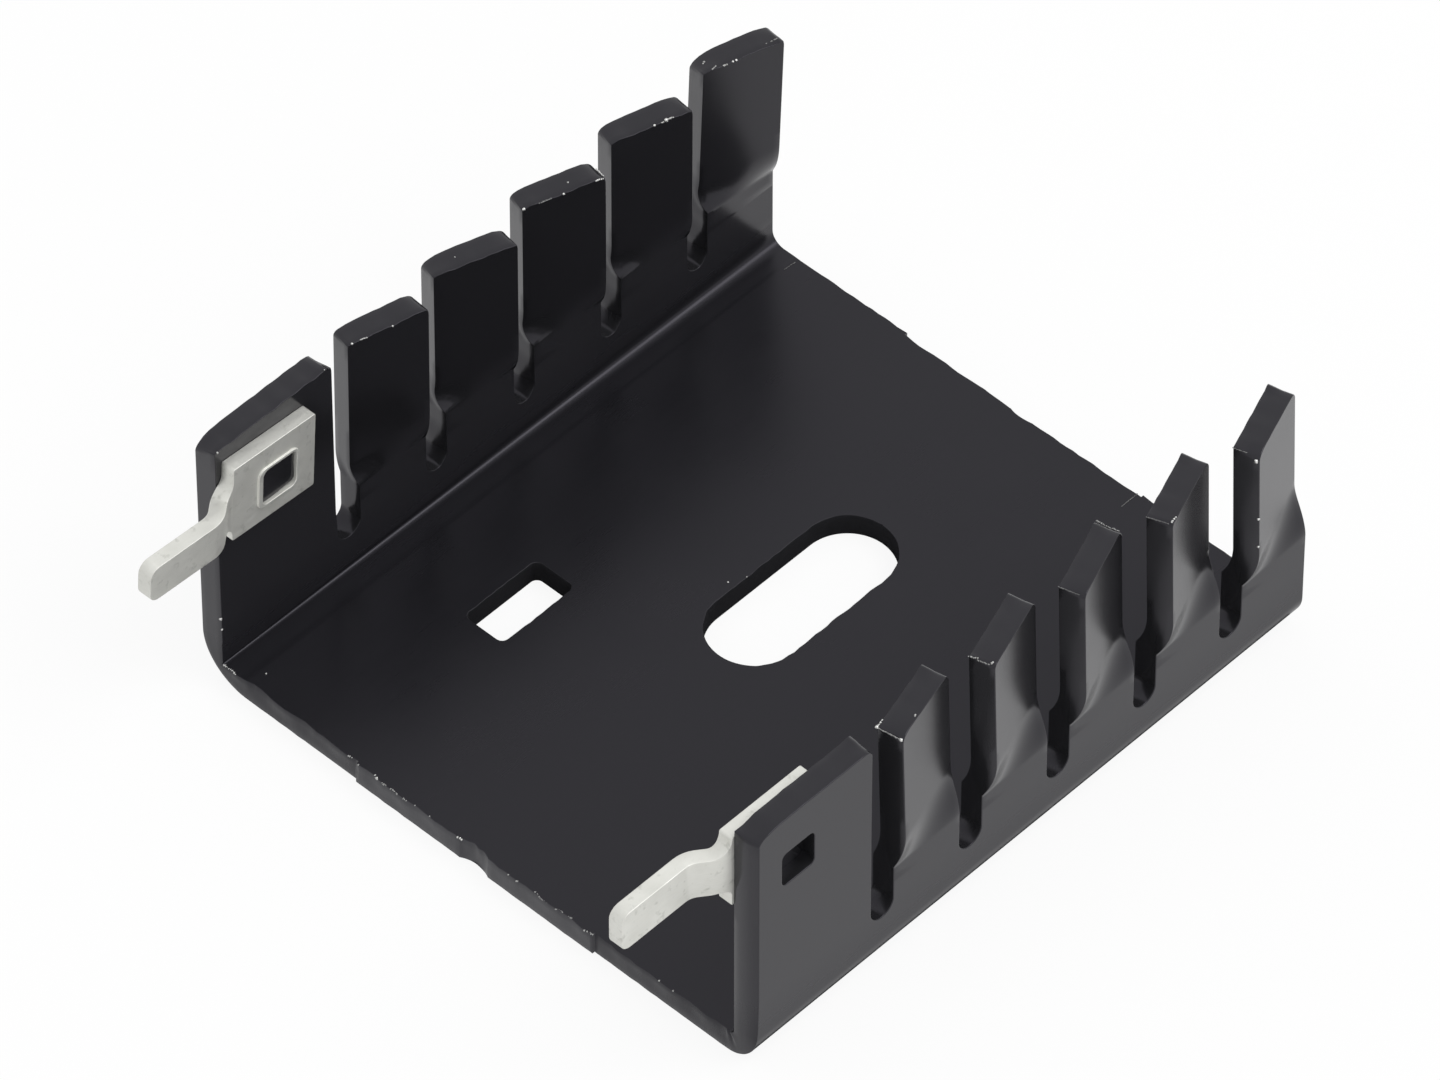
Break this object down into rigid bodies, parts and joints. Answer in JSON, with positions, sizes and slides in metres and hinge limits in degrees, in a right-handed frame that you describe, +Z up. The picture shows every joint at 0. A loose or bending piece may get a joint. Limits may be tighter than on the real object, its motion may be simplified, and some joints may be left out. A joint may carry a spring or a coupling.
{
  "type": "heat sink",
  "caption": "Folded sheet heat sink: a U-shaped channel with a screw slot in its base, a row of twisted fingers along each wall and a solder lug clinched to the front of each wall.",
  "frame": {"origin": "middle of the base's underside, halfway along the two bends", "axes": "+X across the channel, +Y along the bends and away from the pins, +Z up from the base to the fingertips"},
  "size_m": [0.0294, 0.0351, 0.0127],
  "materials": {
    "anodised_sheet": "black anodised, satin",
    "tinned_strip": "tin plated, dull"
  },
  "bodies": {
    "root": {"heat_sink_body": "anodised_sheet", "left_solder_lug": "tinned_strip", "right_solder_lug": "tinned_strip"}
  },
  "joints": []
}
